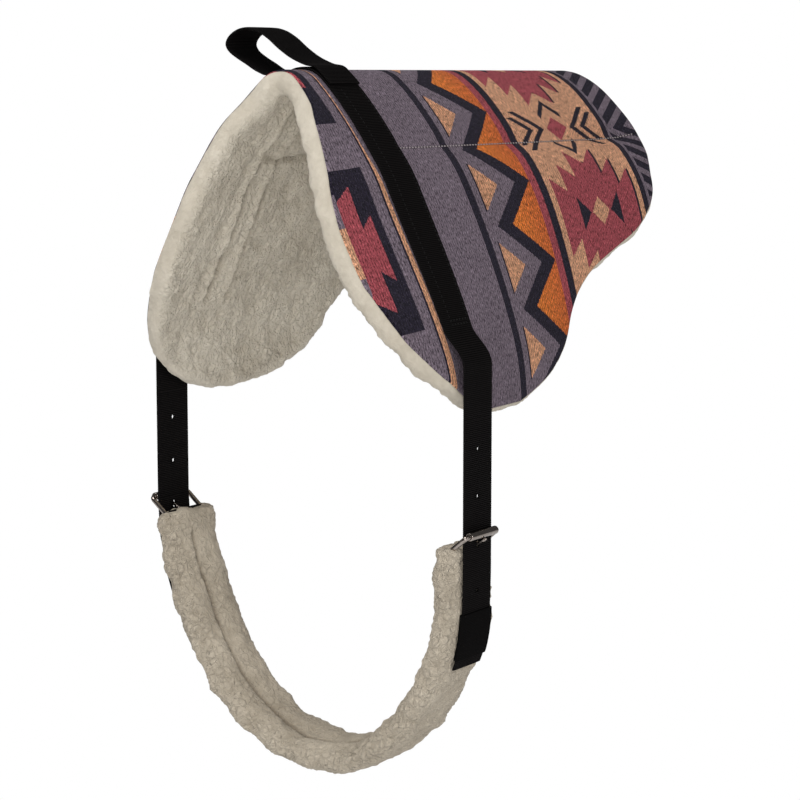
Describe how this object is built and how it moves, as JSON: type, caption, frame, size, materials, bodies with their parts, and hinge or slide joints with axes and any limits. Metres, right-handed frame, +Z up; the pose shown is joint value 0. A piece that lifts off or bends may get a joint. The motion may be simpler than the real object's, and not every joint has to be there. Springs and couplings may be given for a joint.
{
  "type": "bareback pad",
  "caption": "Saddle-shaped padded bareback pad: woven cover over felt and fleece, with a hand loop, punched webbing billets, roller buckles and a fleece-covered girth.",
  "frame": {"origin": "on the underside of the fleece, on the centre line of the back, where the webbing strap crosses it", "axes": "+X to the horse's near (left) side, +Y towards the tail, +Z up"},
  "size_m": [0.4044, 0.6027, 0.7537],
  "materials": {
    "woven_cover": "tightly woven, matt",
    "felt": "needled felt",
    "fleece": "curly pile",
    "webbing": "ribbed webbing",
    "elastic": "ribbed elastic",
    "nickel": "nickel plate",
    "girth_fleece": "curly pile",
    "girth_foam": "closed-cell foam"
  },
  "bodies": {
    "pad": {"top_cover": "woven_cover", "felt_core": "felt", "fleece_lining": "fleece", "over_strap": "webbing", "handle_loop": "webbing"},
    "far_billet_strap": {"far_billet": "webbing"},
    "near_billet_strap": {"near_billet": "webbing"},
    "girth": {"girth_fleece": "girth_fleece", "girth_webbing": "webbing", "girth_foam": "girth_foam", "near_billet_tail": "webbing", "near_buckle_frame": "nickel", "near_chape": "webbing", "near_keeper": "elastic", "far_billet_tail": "webbing", "far_buckle_frame": "nickel", "far_chape": "webbing", "far_keeper": "elastic"},
    "near_roller": {"near_buckle_roller": "nickel"},
    "far_roller": {"far_buckle_roller": "nickel"},
    "near_tongue": {"near_buckle_tongue": "nickel"},
    "far_tongue": {"far_buckle_tongue": "nickel"}
  },
  "joints": [
    {"name": "far_billet_swing", "type": "hinge", "parent": "pad", "child": "far_billet_strap", "pos_m": [-0.1907, 0, -0.31048], "axis": [0, 1, 0], "range_deg": [-15, 15]},
    {"name": "near_billet_swing", "type": "hinge", "parent": "pad", "child": "near_billet_strap", "pos_m": [0.1907, 0, -0.31048], "axis": [0, 1, 0], "range_deg": [-15, 15]},
    {"name": "girth_hang", "type": "hinge", "parent": "far_billet_strap", "child": "girth", "pos_m": [-0.1907, 0, -0.42168], "axis": [0, 1, 0], "range_deg": [-15, 15]},
    {"name": "near_roller_spin", "type": "hinge", "parent": "girth", "child": "near_roller", "pos_m": [0.1967, 0, -0.42168], "axis": [0, 1, 0], "continuous": true},
    {"name": "far_roller_spin", "type": "hinge", "parent": "girth", "child": "far_roller", "pos_m": [-0.1967, 0, -0.42168], "axis": [0, 1, 0], "continuous": true},
    {"name": "near_tongue_tilt", "type": "hinge", "parent": "girth", "child": "near_tongue", "pos_m": [0.17489, 0, -0.43998], "axis": [0, 1, 0], "range_deg": [0, 2]},
    {"name": "far_tongue_tilt", "type": "hinge", "parent": "girth", "child": "far_tongue", "pos_m": [-0.1746, 0, -0.43996], "axis": [0, -1, 0], "range_deg": [0, 2]}
  ],
  "couplings": [
    {"joint": "near_billet_swing", "follows": "far_billet_swing", "ratio": 1},
    {"joint": "girth_hang", "follows": "far_billet_swing", "ratio": -1}
  ]
}
